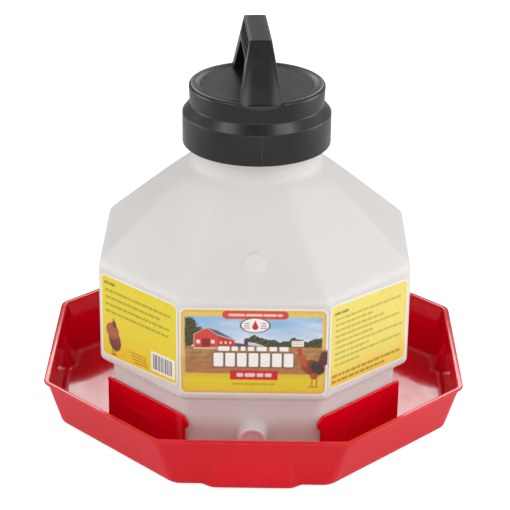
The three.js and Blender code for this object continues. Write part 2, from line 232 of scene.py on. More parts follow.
def octagon(outline, z, flat=1, arc=7):
    """Points, outward directions and places along their face of a rounded octagon at a height.
    The outline is (main apothem, diagonal apothem, corner radius)."""
    main, diag, rounding = outline
    points, normals, along = [], [], []
    for face in range(8):
        here = (diag if face % 2 else main) - rounding
        beside = (main if face % 2 else diag) - rounding
        half = (beside - here * math.cos(EIGHTH)) / math.sin(EIGHTH)
        angle = face * EIGHTH
        n = np.array([math.cos(angle), math.sin(angle)])
        t = np.array([-n[1], n[0]])
        for k in range(flat):
            s = half * (2 * k / flat - 1)
            points.append(n * (here + rounding) + t * s)
            normals.append(n)
            along.append((face, s))
        for k in range(arc):
            turn = angle + EIGHTH * k / arc
            direction = np.array([math.cos(turn), math.sin(turn)])
            points.append(n * here + t * half + direction * rounding)
            normals.append(direction)
            along.append((face, half))
    flat_points = np.array(points)
    level = np.full((len(points), 1), z)
    return np.hstack([flat_points, level]), np.array(normals), along


def grown(outline, by):
    main, diag, rounding = outline
    return (main + by, diag + by, max(rounding + by, 0.5 * MM))


def mixed(low, high, t):
    return tuple(a + (b - a) * t for a, b in zip(low, high))


def smoothed(keys):
    """Rows of numbers with every inner corner cut off again and again, so that it ends up round."""
    rows = np.asarray(keys, float)
    for _ in range(3):
        first, last = rows[:1], rows[-1:]
        a, b = rows[:-1], rows[1:]
        inner = np.stack([0.75 * a + 0.25 * b, 0.25 * a + 0.75 * b], axis=1)
        rows = np.vstack([first, inner.reshape(-1, rows.shape[1]), last])
    return rows


def rounded(points, closed=True, steps=4):
    """A polyline of (x, y, radius) corners with each corner turned into an arc of its radius."""
    count = len(points)
    result = []
    for i, (x, y, radius) in enumerate(points):
        here = np.array([x, y])
        if radius <= 0 or (not closed and i in (0, count - 1)):
            result.append(here)
            continue
        before = np.array(points[i - 1][:2]) - here
        after = np.array(points[(i + 1) % count][:2]) - here
        room = min(np.linalg.norm(before), np.linalg.norm(after)) * 0.49
        before, after = before / np.linalg.norm(before), after / np.linalg.norm(after)
        half = math.acos(np.clip(before @ after, -1, 1)) / 2
        reach = min(radius / math.tan(half), room)
        radius = reach * math.tan(half)
        middle = before + after
        centre = here + middle / np.linalg.norm(middle) * (radius / math.sin(half))
        start, end = here + before * reach - centre, here + after * reach - centre
        sweep = math.pi - 2 * half
        for k in range(steps + 1):
            t = k / steps
            blend = (start * math.sin((1 - t) * sweep) + end * math.sin(t * sweep)) / math.sin(sweep)
            result.append(centre + blend)
    return np.array(result)


def lathe(name, corners, segments=144, sharp=35, closed=False):
    """A profile of (radius, height, rounding) corners turned about Z; an open one ends on the axis."""
    profile = rounded(corners, closed)
    angles = np.linspace(0, 2 * math.pi, segments, endpoint=False)
    rings = [[(r * math.cos(a), r * math.sin(a), z) for r, z in profile] for a in angles]
    return loft(name, rings, closed=True, sharp=sharp)


def forward(obj, height):
    """Turns a piece made about +Z so that it points to -Y, at a height."""
    obj.data.transform(Matrix.Translation((0, 0, height)) @ Matrix.Rotation(QUARTER, 4, "X"))
    return obj


def prism(name, outline, place):
    """A flat outline between two sides; place(point, side) gives a point of each, with side -1 or 1."""
    count = len(outline)
    verts = [place(p, -1) for p in outline] + [place(p, 1) for p in outline]
    faces = [tuple(range(count)), tuple(range(2 * count - 1, count - 1, -1))]
    for i in range(count):
        j = (i + 1) % count
        faces.append((i, j, count + j, count + i))
    return new_object(name, verts, faces)


def bevel(obj, width):
    """Rounds every edge sharper than 30 degrees."""
    limit = math.radians(30)
    with edited(obj) as bm:
        edges = [e for e in bm.edges if len(e.link_faces) == 2 and e.calc_face_angle() > limit]
        shape = {"segments": 3, "affect": "EDGES", "profile": 0.5, "clamp_overlap": True}
        bmesh.ops.bevel(bm, geom=edges, offset=width, **shape)
    return tidy(obj)


def combine(obj, operation, others, sharp=35):
    """Joins others to obj or cuts them from it, and deletes them."""
    for other in others:
        modifier = obj.modifiers.new("combine", "BOOLEAN")
        modifier.operation = operation
        modifier.solver = "EXACT"
        modifier.object = other
        bpy.context.view_layer.update()
        evaluated = obj.evaluated_get(bpy.context.evaluated_depsgraph_get())
        mesh = bpy.data.meshes.new_from_object(evaluated)
        obj.modifiers.clear()
        obj.data = mesh
    for other in others:
        bpy.data.objects.remove(other)
    return tidy(obj, sharp)


# -------- tray
def tray_wall(z):
    """The outside of the tray's wall at a height."""
    return mixed(TRAY_BASE, TRAY_TOP, z / TRAY_HIGH.z)


def tray_ring(z, offset):
    """A ring round the tray, moved out of the wall by an offset, with the foot pads swelling out of it."""
    points, normals, along = octagon(grown(tray_wall(z), offset), z, flat=96, arc=8)
    fade = max(0.0, 1 - z / PAD_TOP)
    for i, (face, s) in enumerate(along):
        if face % 2 == 0:
            slope = PAD_SLOPE * (0.3 + 0.75 * fade**3)
            t = np.clip((PAD_HALF + slope - abs(s)) / slope, 0, 1)
            out = PAD_OUT * fade * math.sin(QUARTER * t)
            points[i, :2] += normals[i] * out
    return points


def bracket_path():
    """Points and outward directions along one bracket wall, from its end at the right of the front to the one
    at the front of the right side. Both ends lie in the rounded corners of the octagon."""
    corner_main, corner_diag = BRACKET_MAIN - BRACKET_ROUND, BRACKET_DIAG - BRACKET_ROUND
    near = corner_diag / math.sin(EIGHTH) - corner_main
    lead = math.asin((BRACKET_END - HOOK_REACH - near) / BRACKET_ROUND)
    path = []
    for centre, start, end in (
        (np.array([near, -corner_main]), lead - QUARTER, -EIGHTH),
        (np.array([corner_main, -near]), -EIGHTH, -lead),
    ):
        for angle in np.linspace(start, end, 9):
            direction = np.array([math.cos(angle), math.sin(angle)])
            path.append((centre + direction * BRACKET_ROUND, direction))
    (start, direction), (end, _) = path[8:10]
    straight = [(start + (end - start) * k / 24, direction) for k in range(1, 24)]
    return path[:9] + straight + path[9:]


def bracket(turns):
    """One bracket wall: a flat plate, hooked beside the front or back gap and plain beside the other, rounded
    along its edges, then bent to the path."""
    path = bracket_path()
    places = np.array([p for p, _ in path])
    steps = np.linalg.norm(np.diff(places, axis=0), axis=1)
    reach = np.concatenate([[0], np.cumsum(steps)])
    length = reach[-1]
    low, top = TRAY_FLOOR - 0.8 * MM, BRACKET_TOP
    hook = 1.2 * HOOK_REACH  # it runs aslant, round the corner
    hooked = [
        (hook, low, 0),
        (hook, HOOK_LOW - 1.5 * MM, 1.5 * MM),
        (0.4 * MM, HOOK_LOW + 2 * MM, 2 * MM),
        (0, HOOK_LOW + 7 * MM, 3.5 * MM),
        (6 * MM, top, 6 * MM),
    ]
    plain = [(0, low, 0), (0, top, 2.5 * MM)]
    first, second = (hooked, plain) if turns % 2 == 0 else (plain, hooked)
    outline = first + [(length - x, z, r) for x, z, r in reversed(second)]
    corners = rounded(outline, steps=5)
    half = BRACKET_WALL / 2

    plate = prism("bracket", corners, lambda p, side: (p[0], side * half, p[1]))
    directions = np.array([n for _, n in path])
    with edited(plate) as bm:
        cut(bm, 2, (low + 1.2 * MM, low + 2 * MM, low + BRACKET_FLARE_TOP))
        cut(bm, 0, reach[1:-1])
        rim = []
        for edge in bm.edges:
            above = min(v.co.z for v in edge.verts) > low + 1e-6
            if above and len(edge.link_faces) == 2 and edge.calc_face_angle() > 1:
                rim.append(edge)
        bmesh.ops.bevel(bm, geom=rim, offset=1 * MM, segments=3, affect="EDGES", profile=0.5)
        for v in bm.verts:
            s = v.co.x
            x, y = (np.interp(s, reach, places[:, k]) for k in range(2))
            nx, ny = (np.interp(s, reach, directions[:, k]) for k in range(2))
            flare = BRACKET_FLARE * max(0.0, 1 - (v.co.z - low) / BRACKET_FLARE_TOP) ** 2
            out = v.co.y * (1 + flare / half) - half
            v.co = Vector((x + nx * out, y + ny * out, v.co.z))
    plate.data.transform(Matrix.Rotation(turns * QUARTER, 4, "Z"))
    return tidy(plate)


def make_tray():
    top = TRAY_HIGH.z
    rings = []
    for k in range(6):
        angle = QUARTER * k / 5
        z = TRAY_EDGE * (1 - math.cos(angle))
        rings.append((z, -TRAY_EDGE * (1 - math.sin(angle))))
    rings.insert(0, (0.0, -14 * MM))
    low = top - RIM_THICKNESS
    rings += [(z, 0.0) for z in np.linspace(TRAY_EDGE, low - 1.2 * MM, 12)[1:]]
    edge = [
        (low - 1.2 * MM, 0, 0),
        (low, 0, 1.0 * MM),
        (low, RIM_OUT, 0.9 * MM),
        (top, RIM_OUT, 2.2 * MM),
        (top, -TRAY_WALL, 0.9 * MM),
        (top - 3 * MM, -TRAY_WALL, 0),
    ]
    rings += [tuple(p) for p in rounded(edge, closed=False)[1:]]
    inner = TRAY_EDGE - TRAY_WALL + 2 * MM
    rings += [(z, -TRAY_WALL) for z in np.linspace(top - 3 * MM, TRAY_FLOOR + inner, 12)[1:]]
    for k in range(1, 6):
        angle = QUARTER * k / 5
        z = TRAY_FLOOR + inner * (1 - math.sin(angle))
        rings.append((z, -TRAY_WALL - inner * (1 - math.cos(angle))))
    rings.append((TRAY_FLOOR, -24 * MM))
    tray = loft("tray_shell", [tray_ring(z, offset) for z, offset in rings], sharp=50)
    return combine(tray, "UNION", [bracket(turns) for turns in range(4)], sharp=50)


# -------- jug
def jug_keys():
    """The jug from foot to lip, as rows of height, octagon and how far that is turned into a circle."""
    low = JUG_LOW.z

    def slope(z):
        return mixed(BODY, SHOULDER_END, (z - SHOULDER_LOW) / (SHOULDER_TOP - SHOULDER_LOW))

    octagons = [
        (low + 0.8 * MM, grown(FOOT, -30 * MM)),
        (low + 0.3 * MM, grown(FOOT, -14 * MM)),
        (low, grown(FOOT, -8 * MM)),
        (low, FOOT),
        (low + 8 * MM, FOOT),
        (FOOT_TOP - 6 * MM, FOOT),
        (FOOT_TOP, FOOT),
        (FOOT_TOP + 2.5 * MM, mixed(FOOT, BODY, 0.45)),
        (BODY_LOW - 9.5 * MM, BODY),
        (BODY_LOW, BODY),
        (SHOULDER_LOW - 9 * MM, BODY),
        (SHOULDER_LOW, BODY),
        (SHOULDER_LOW + 8 * MM, slope(SHOULDER_LOW + 8 * MM)),
        (SHOULDER_TOP - 6 * MM, slope(SHOULDER_TOP - 6 * MM)),
    ]
    circles = [(SHOULDER_TOP + 1 * MM, NECK), (SHOULDER_TOP + 8 * MM, NECK), (NECK_TOP - 2 * MM, NECK)]
    rows = [(z, *outline, 0) for z, outline in octagons] + [(z, *outline, 1) for z, outline in circles]
    return smoothed(rows)


def jug_ring(row, inset=0.0, lift=0.0):
    """The ring of a row of jug_keys, moved inwards and upwards; its last number turns it into a circle."""
    z, main, diag, rounding, roundness = row
    outline = grown((main, diag, rounding), -inset)
    points = octagon(outline, z + lift, flat=10)[0]
    reach = np.linalg.norm(points[:, :2], axis=1, keepdims=True)
    circle = points[:, :2] / reach * outline[0]
    points[:, :2] += (circle - points[:, :2]) * roundness
    return points


def thread(name, root, crest, start):
    """A helical ridge of one start from a root radius to a crest radius."""
    steps = round(THREAD_TURNS * 96)
    rings = []
    for i in range(steps + 1):
        angle = 2 * math.pi * THREAD_TURNS * i / steps
        z = start + PITCH * THREAD_TURNS * i / steps
        fade = min(1, (i + 0.3) / 8, (steps - i + 0.3) / 8)
        tip = root + (crest - root) * math.sin(fade * QUARTER)
        base, crown = THREAD_BASE / 2, THREAD_TIP / 2
        section = [(root, -base), (tip, -crown), (tip, crown), (root, base)]
        rings.append([(r * math.cos(angle), r * math.sin(angle), z + h) for r, h in section])
    return loft(name, rings)


def make_jug():
    keys = jug_keys()
    lip = (NECK_TOP, *NECK, 1)
    rings = [jug_ring(row) for row in keys]
    rings.append(jug_ring(lip, 0.3 * MM, -0.7 * MM))
    rings.append(jug_ring(lip, 0.9 * MM))
    rings.append(jug_ring(lip, JUG_WALL - 0.5 * MM))
    for row in keys[::-1]:
        height = row[0] - JUG_LOW.z
        if height > 10 * MM:
            rings.append(jug_ring(row, JUG_WALL))
        elif height < 2 * MM or height > 4 * MM:
            rings.append(jug_ring(row, JUG_WALL, JUG_WALL * (1 - height / (10 * MM))))
    jug = loft("jug_shell", rings)
    start = FOOT[0] - JUG_WALL / 2
    spout = [
        (0, start, 0),
        (SPOUT_BASE_RADIUS + 3 * MM, start, 0),
        (SPOUT_BASE_RADIUS + 3 * MM, FOOT[0] + 0.05 * MM, 0),
        (SPOUT_BASE_RADIUS, FOOT[0] + 0.2 * MM, 2.4 * MM),
        (SPOUT_END_RADIUS + 0.3 * MM, SPOUT_FRONT, 1 * MM),
        (0, SPOUT_FRONT, 0),
    ]
    bore = [(0, BORE_BACK, 0), (SPOUT_BORE, BORE_BACK, 0), (SPOUT_BORE, BORE_FRONT, 0), (0, BORE_FRONT, 0)]
    spout_solid = forward(lathe("spout", spout, 96), SPOUT_HEIGHT)
    bore_solid = forward(lathe("bore", bore, 96), SPOUT_HEIGHT)
    rise, run = SHOULDER_TOP - SHOULDER_LOW, BODY[0] - SHOULDER_END[0]
    stud = [
        (0, -JUG_WALL / 2, 0),
        (STUD_RADIUS + 4 * MM, -JUG_WALL / 2, 0),
        (STUD_RADIUS + 4 * MM, 0.05 * MM, 0),
        (STUD_RADIUS, 0.1 * MM, 2.5 * MM),
        (STUD_RADIUS - 0.6 * MM, STUD_HEIGHT, 1.2 * MM),
        (0, STUD_HEIGHT, 0),
    ]
    stud_solid = lathe("stud", stud, 96)
    out = BODY[0] - (STUD_LEVEL - SHOULDER_LOW) * run / rise
    lean = Matrix.Rotation(math.atan2(rise, run), 4, "X")
    stud_solid.data.transform(Matrix.Translation((0, -out, STUD_LEVEL)) @ lean)
    ridge = thread("neck_thread", NECK_RADIUS - 1 * MM, NECK_CREST, THREAD_START)
    combine(jug, "UNION", [spout_solid, stud_solid, ridge])
    return combine(jug, "DIFFERENCE", [bore_solid], sharp=40)


def make_plug():
    front, head = PLUG_FRONT, PLUG_FRONT - 1.8 * MM
    profile = [
        (0, PLUG_BACK, 0),
        (PLUG_SHAFT - 0.8 * MM, PLUG_BACK, 0.5 * MM),
        (PLUG_SHAFT, PLUG_BACK + 2 * MM, 0.5 * MM),
        (PLUG_SHAFT, head, 0),
        (PLUG_RADIUS, head, 0.5 * MM),
        (PLUG_RADIUS, front, 0.9 * MM),
        (PLUG_RADIUS - 3 * MM, front, 0.6 * MM),
        (PLUG_RADIUS - 4 * MM, front - 0.5 * MM, 0.6 * MM),
        (0, front - 0.5 * MM, 0),
    ]
    return forward(lathe("stop_plug_piece", profile, 96), SPOUT_HEIGHT)


# -------- cap
def cap_profile():
    inside = [
        (0, CAP_CEILING, 0),
        (CROWN_BORE, CAP_CEILING, 2 * MM),
        (CROWN_BORE, CAP_LEDGE, 0.3 * MM),
        (SKIRT_BORE, CAP_LEDGE, 0.8 * MM),
        (SKIRT_BORE, SKIRT_LOW, 0.6 * MM),
    ]
    outside = [
        (SKIRT_RADIUS, SKIRT_LOW, 0.9 * MM),
        (SKIRT_RADIUS, CHAMFER_LOW, 1.6 * MM),
        (CROWN_RADIUS, CHAMFER_TOP, 1.6 * MM),
        (CROWN_RADIUS + 1 * MM, CAP_TOP, 4.8 * MM),
        (DISH_RADIUS + 2 * MM, CAP_TOP, 3 * MM),
        (DISH_RADIUS - 3 * MM, CAP_TOP - 0.8 * DISH_DEPTH, 24 * MM),
        (20 * MM, CAP_TOP - DISH_DEPTH, 60 * MM),
        (0, CAP_TOP - DISH_DEPTH, 0),
    ]
    return inside, outside


def post_half(z):
    """Half the handle's width at a height: it narrows upwards, and spreads where it meets the cap."""
    t = (z - ARCH_FOOT_LEVEL) / (HANDLE_TOP - ARCH_FOOT_LEVEL)
    return POST_FOOT + (POST_TOP - POST_FOOT) * t + 0.8 * max(0.0, CAP_TOP - z)


def arch_line(z):
    """Half the arch's length at a height."""
    t = (z - ARCH_FOOT_LEVEL) / (HANDLE_TOP - ARCH_FOOT_LEVEL)
    return ARCH_FOOT + (ARCH_TOP - ARCH_FOOT) * t


def pockets():
    """The hollows in both sides of the grip, between ribs."""
    low, high = OPENING_TOP + 2.2 * MM, HANDLE_TOP - 2.4 * MM
    bay = 2 * POCKET_REACH / POCKET_BAYS
    solids = []
    for i in range(POCKET_BAYS):
        middle = bay * (i + 0.5) - POCKET_REACH
        wide = (bay - POCKET_RIB) / 2
        corners = [(middle - wide, low), (middle + wide, low), (middle + wide, high), (middle - wide, high)]
        outline = rounded([(y, z, 0.8 * MM) for y, z in corners], steps=2)
        for side in (-1, 1):
            depths = {-1: side * WEB_HALF, 1: side * (POST_FOOT + 5 * MM)}
            solids.append(prism("pocket", outline, lambda p, end, depths=depths: (depths[end], p[0], p[1])))
    return solids


def make_handle():
    half_outline = [(arch_line(HANDLE_FOOT), HANDLE_FOOT, 0), (ARCH_TOP, HANDLE_TOP, 2.5 * MM)]
    outline = half_outline + [(-y, z, r) for y, z, r in reversed(half_outline)]
    arch = prism("handle", rounded(outline, steps=5), lambda p, side: (side * MM, p[0], p[1]))
    floor = CAP_TOP - DISH_DEPTH - 2 * MM
    half_opening = [(OPENING_HALF, OPENING_TOP, 7 * MM), (44 * MM, floor, 0), (44 * MM, HANDLE_FOOT - MM, 0)]
    opening = [(-y, z, r) for y, z, r in reversed(half_opening)] + half_opening

    def hole():
        return prism("hole", rounded(opening, steps=6), lambda p, side: (side * 2 * MM, p[0], p[1]))

    combine(arch, "DIFFERENCE", [hole()])
    with edited(arch) as bm:
        cut(bm, 2, (POST_CURVE, CAP_TOP))
    for v in arch.data.vertices:
        v.co.x = math.copysign(post_half(v.co.z), v.co.x)
    bevel(arch, 1.1 * MM)
    bay = 2 * POCKET_REACH / POCKET_BAYS
    with edited(arch) as bm:
        cut(bm, 1, np.arange(-POCKET_REACH, POCKET_REACH + MM, bay / 6))
    with edited(arch) as bm:
        cut(bm, 0, np.linspace(-6, 6, 7) * MM)
    for v in arch.data.vertices:
        if v.co.z > HANDLE_TOP - 0.05 * MM and abs(v.co.y) < POCKET_REACH:
            middle = 1 - (v.co.x / (POST_TOP - MM)) ** 2
            v.co.z -= 0.22 * MM * middle * (1 + math.cos(2 * math.pi * (v.co.y + POCKET_REACH) / bay))
    ridge = [(y + math.copysign(0.42 * MM, y), z, r) for y, z, r in outline]
    ridge = prism("ridge", rounded(ridge, steps=5), lambda p, side: (side * 0.3 * MM, p[0], p[1] - 0.4 * MM))
    combine(ridge, "DIFFERENCE", [hole()])
    combine(arch, "DIFFERENCE", pockets())
    return arch, ridge


def cap_blank(extra):
    """The round space that the handle's feet are trimmed to."""
    radius = CROWN_RADIUS + 1 * MM + extra
    corners = [
        (0, HANDLE_FOOT + 0.5 * MM, 0),
        (radius - 1.6 * MM, HANDLE_FOOT + 0.5 * MM, 0),
        (radius, POST_CURVE, 5 * MM),
        (radius, HANDLE_TOP + 5 * MM, 0),
        (0, HANDLE_TOP + 5 * MM, 0),
    ]
    return lathe("blank", corners, 192)


def make_cap():
    inside, outside = cap_profile()
    body = lathe("cap_shell", inside + outside, 192, sharp=30)
    handle, ridge = make_handle()
    combine(handle, "INTERSECT", [cap_blank(0.0)])
    combine(ridge, "INTERSECT", [cap_blank(0.2 * MM)])
    cavity = [(0, CAP_LEDGE, 0), (CROWN_BORE, CAP_LEDGE, 0)]
    cavity += [(CROWN_BORE, CAP_CEILING, 2 * MM), (0, CAP_CEILING, 0)]
    combine(handle, "DIFFERENCE", [lathe("cavity", cavity, 192)])
    combine(body, "UNION", [handle, ridge] + seams(outside), sharp=30)
    body.data.transform(Matrix.Rotation(CAP_YAW, 4, "Z"))
    ridge = thread("cap_thread", SKIRT_BORE + 1 * MM, CAP_CREST, THREAD_START - PITCH / 2)
    return combine(body, "UNION", [ridge], sharp=30)


def seams(outside):
    """The mould's parting line: a fine ridge down the cap below each post."""
    line = rounded(outside[0:5], closed=False)
    raised = [(r + 0.22 * MM, z) for r, z in line]
    sunk = [(r - 0.6 * MM, z) for r, z in line[::-1]]
    half = 0.35 * MM
    solids = []
    for sign in (-1, 1):
        outline = np.array(raised + sunk) * (sign, 1)
        solids.append(prism("seam", outline, lambda p, side: (side * half, p[0], p[1])))
    return solids


def make_gasket():
    inner = GASKET_HIGH.x - 8.8 * MM
    corners = [
        (inner, GASKET_LOW.z),
        (GASKET_HIGH.x, GASKET_LOW.z),
        (GASKET_HIGH.x, GASKET_HIGH.z),
        (inner, GASKET_HIGH.z),
    ]
    return lathe("gasket_ring", [(r, z, 0.7 * MM) for r, z in corners], closed=True)


# -------- stickers
LABEL_BORDER = 1.5  # millimetres of white paper round the print
LABEL_FACES = {
    # face angle, half the width of the print, and its lower and upper edge at its left and right end
    "front": (-90, 62.4, (71.7, 151.5), (71.7, 151.5)),
    "left": (-135, 49.0, (72.7, 150.7), (77.3, 152.6)),
    "right": (-45, 49.0, (75.4, 153.2), (72.4, 148.8)),
}
LABEL_CORNER = 6.0
LABEL_STEP = 0.4
LABEL_COARSE = 4  # the back has one step for so many of the front
LABEL_LIFT = (0.06 * MM, 0.22 * MM)


def skin(angle, along, height):
    """Points of the jug's skin at places along a face, measured round its corners too, and at heights, with
    the directions out of it."""
    keys = jug_keys()
    main, diag, rounding = (np.interp(height, keys[:, 0], keys[:, k]) for k in (1, 2, 3))
    if angle % 90:
        main, diag = diag, main
    here, beside = main - rounding, diag - rounding
    half = (beside - here * math.cos(EIGHTH)) / math.sin(EIGHTH)
    past = np.maximum(np.abs(along) - half, 0) / rounding * np.sign(along)
    turn = math.radians(angle) + past
    middle = np.clip(along, -half, half)
    n = np.array([math.cos(math.radians(angle)), math.sin(math.radians(angle))])
    x = n[0] * here - n[1] * middle + np.cos(turn) * rounding
    y = n[1] * here + n[0] * middle + np.sin(turn) * rounding
    return np.stack([x, y, height], axis=-1), np.stack([np.cos(turn), np.sin(turn), 0 * turn], axis=-1)


def label_grid(half, left, right, columns, rows):
    """Places of a sheet with rounded corners, in millimetres from the middle of its print."""
    across = np.linspace(-1, 1, columns + 1)[None, :]
    up = np.linspace(-1, 1, rows + 1)[:, None]
    half_high = (left[1] - left[0] + right[1] - right[0]) / 4 + LABEL_BORDER
    past = np.maximum(np.abs(up) * half_high - (half_high - LABEL_CORNER), 0)
    drawn_in = LABEL_CORNER - np.sqrt(LABEL_CORNER**2 - past**2)
    u = across * (half + LABEL_BORDER - drawn_in)
    v = up * half_high + 0 * across
    share = (u / half + 1) / 2
    low = left[0] + (right[0] - left[0]) * share
    high = left[1] + (right[1] - left[1]) * share
    z = (low + high) / 2 + v * (high - low) / (2 * (half_high - LABEL_BORDER))
    return u, v, z


def grid_border(columns, rows):
    """Indices of a grid's outline, in order."""
    width = columns + 1
    bottom = list(range(columns))
    right = [r * width + columns for r in range(rows)]
    top = [rows * width + i for i in range(columns, 0, -1)]
    left = [r * width for r in range(rows, 0, -1)]
    return bottom + right + top + left


def grid_faces(columns, rows, first=0):
    width = columns + 1
    corner = first + (np.arange(rows)[:, None] * width + np.arange(columns)[None, :]).ravel()
    return np.stack([corner, corner + 1, corner + 1 + width, corner + width], axis=-1).tolist()


def make_label(side, paint):
    """A sticker on one face of the jug, its print held as a colour for each point."""
    angle, half, left, right = LABEL_FACES[side]
    wide = 2 * (half + LABEL_BORDER)
    high = (left[1] - left[0] + right[1] - right[0]) / 2 + 2 * LABEL_BORDER
    back_columns, back_rows = (round(size / (LABEL_STEP * LABEL_COARSE)) for size in (wide, high))
    verts, sheets = [], []
    for share, lift in ((LABEL_COARSE, LABEL_LIFT[1]), (1, LABEL_LIFT[0])):
        columns, rows = back_columns * share, back_rows * share
        u, v, z = label_grid(half, left, right, columns, rows)
        points, out = skin(angle, u * MM, z * MM)
        sheets.append((columns, rows, len(verts), u, v))
        verts += (points + out * lift).reshape(-1, 3).tolist()
    (columns, rows, _, u, v), (_, _, second, _, _) = sheets
    faces = grid_faces(columns, rows)
    faces += [face[::-1] for face in grid_faces(back_columns, back_rows, second)]
    outer, inner = grid_border(columns, rows), grid_border(back_columns, back_rows)
    for i in range(len(inner)):
        fine = [outer[(i * LABEL_COARSE + k) % len(outer)] for k in range(LABEL_COARSE, -1, -1)]
        faces.append(fine + [second + inner[i], second + inner[(i + 1) % len(inner)]])
    mesh = bpy.data.meshes.new("sticker_" + side)
    mesh.from_pydata(verts, [], faces)
    mesh.shade_smooth()
    mesh.set_sharp_from_angle(angle=math.radians(40))
    colours = np.ones((len(verts), 4))
    colours[:, :3] = srgb(*PAPER)
    colours[: u.size, :3] = paint(u.ravel(), v.ravel(), half, high / 2 - LABEL_BORDER)
    art = mesh.color_attributes.new("art", "FLOAT_COLOR", "POINT")
    art.data.foreach_set("color", colours.astype(np.float32).ravel())
    return link("sticker_" + side, mesh)


def srgb(*channels):
    """Screen colour channels of 0 to 255 as scene-linear ones."""
    c = np.asarray(channels, float) / 255
    return tuple(np.where(c <= 0.04045, c / 12.92, ((c + 0.055) / 1.055) ** 2.4))


PAPER = (240, 238, 232)
YELLOW = (231, 209, 46)
AMBER = (234, 198, 96)
TAN = (206, 152, 66)
RED_INK = (204, 34, 44)
ORANGE_RED = (216, 74, 52)
OLIVE = (160, 144, 34)
WHITE = (248, 246, 242)
DARK = (60, 52, 48)
MAROON = (110, 58, 62)
SOIL = (150, 108, 66)
RAIL = (232, 214, 190)
COMB = (206, 48, 44)
RIGHT_INK = (182, 166, 66)


class Print:
    """Ink laid on a sheet, shape after shape, where a shape is a field of signed distances in millimetres."""

    def __init__(self, u, v):
        self.u, self.v = u, v
        self.ink = np.tile(np.array(srgb(*PAPER)), (len(u), 1))

    def lay(self, distance, ink, soft=0.22, strength=1.0):
        """Ink is one screen colour, or a field for each of its channels."""
        ink = np.asarray(srgb(*ink)) if np.ndim(ink[0]) == 0 else np.stack(srgb(*ink), axis=-1)
        share = np.clip(0.5 - distance / (2 * soft), 0, 1)[:, None] * strength
        self.ink += (ink - self.ink) * share

    def box(self, x, y, wide, high, rounding=0.0, tilt=0.0):
        """A rectangle of half sizes about a place."""
        c, s = math.cos(tilt), math.sin(tilt)
        du, dv = self.u - x, self.v - y
        across = np.abs(du * c + dv * s) - wide + rounding
        up = np.abs(dv * c - du * s) - high + rounding
        outside = np.hypot(np.maximum(across, 0), np.maximum(up, 0))
        return outside + np.minimum(np.maximum(across, up), 0) - rounding

    def oval(self, x, y, wide, high, tilt=0.0):
        c, s = math.cos(tilt), math.sin(tilt)
        du, dv = self.u - x, self.v - y
        return (np.hypot((du * c + dv * s) / wide, (dv * c - du * s) / high) - 1) * min(wide, high)

    def hull(self, corners):
        """A convex outline with its corners in anticlockwise order."""
        distance = np.full(len(self.u), -1e9)
        for (x0, y0), (x1, y1) in zip(corners, corners[1:] + corners[:1]):
            length = math.hypot(x1 - x0, y1 - y0)
            side = ((self.u - x0) * (y1 - y0) - (self.v - y0) * (x1 - x0)) / length
            distance = np.maximum(distance, side)
        return distance

    def line_of_words(self, x0, x1, y, high, ink, seed, word=(2.0, 6.0), strength=0.8):
        """A line of plain bars that stands for small print."""
        random = np.random.default_rng(seed)
        x = x0
        while x < x1 - word[0] / 2:
            end = min(x + random.uniform(*word), x1)
            bar = self.box((x + end) / 2, y, (end - x) / 2, high / 2, high * 0.3)
            self.lay(bar, ink, soft=0.4, strength=strength)
            x = end + high * 0.4


def noise(u, v, size, seed):
    """Smooth random numbers between about -1 and 1, with features of a size."""
    random = np.random.default_rng(seed)
    total, weight = np.zeros_like(u), 1.0
    for _ in range(3):
        for _ in range(4):
            angle, phase = random.uniform(0, 2 * math.pi, 2)
            wave = 2 * math.pi / (size * random.uniform(0.7, 1.4))
            total += weight * np.sin(wave * (u * math.cos(angle) + v * math.sin(angle)) + phase)
        size, weight = size / 2, weight / 2
    return total / 4


def shade(low, high, share):
    """A blend of two screen colours as three fields of channels."""
    share = np.clip(share, 0, 1)
    return [a + (b - a) * share for a, b in zip(low, high)]


